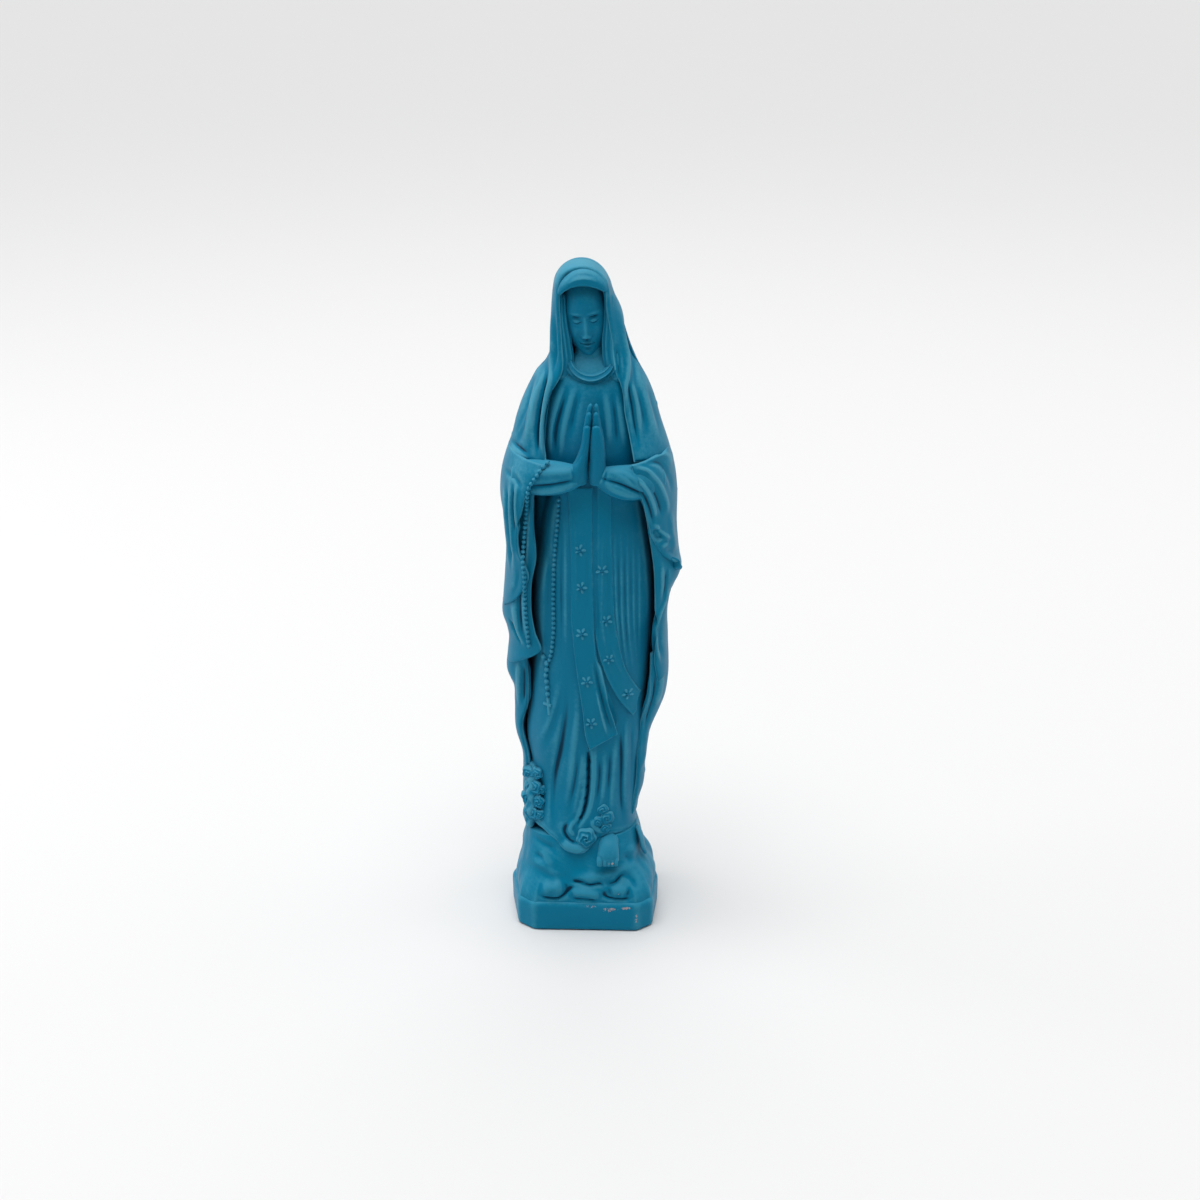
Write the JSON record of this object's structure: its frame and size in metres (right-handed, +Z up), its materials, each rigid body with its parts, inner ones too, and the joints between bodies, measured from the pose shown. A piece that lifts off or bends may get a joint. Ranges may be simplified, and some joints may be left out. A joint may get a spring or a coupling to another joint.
{
  "type": "devotional statue",
  "caption": "Veiled praying woman on a rocky mound and chamfered plinth, as a hollow moulded figurine with draped mantle, sash tails and hanging prayer beads.",
  "frame": {"origin": "middle of the plinth on the resting face", "axes": "+Z up through the crown of the veil, the figure faces -Y, her left hand is on the +X side"},
  "size_m": [0.0398, 0.0312, 0.15],
  "materials": {
    "cloth": "satin paint",
    "robe": "satin paint",
    "skin": "satin paint",
    "ground": "satin paint",
    "trim": "satin paint",
    "underside": "bare plastic"
  },
  "bodies": {
    "root": {"plinth": "ground", "base_plate": "underside", "rock_mound": "ground", "right_boulder": "ground", "middle_boulder": "ground", "left_boulder": "ground", "foot_ledge": "ground", "side_leaf": "ground", "robe_front": "robe", "robe_hem_back": "robe", "bodice": "robe", "mantle_back": "cloth", "veil_front": "cloth", "mantle_right_panel": "cloth", "mantle_left_panel": "cloth", "forehead_veil": "cloth", "sash_right_tail": "cloth", "sash_left_tail": "cloth", "star_1": "trim", "star_2": "trim", "star_3": "trim", "star_4": "trim", "star_5": "trim", "star_6": "trim", "star_7": "trim", "star_8": "trim", "star_9": "trim", "head": "skin", "collar": "trim", "right_hand": "skin", "left_hand": "skin", "right_sleeve": "robe", "left_sleeve": "robe", "rosary_sleeve_strand": "trim", "rosary_robe_strand": "trim", "rosary_pendant": "trim", "crucifix": "trim", "right_foot_rose": "trim", "left_foot_rose": "trim", "rose_bush": "trim", "left_foot": "skin"}
  },
  "joints": []
}
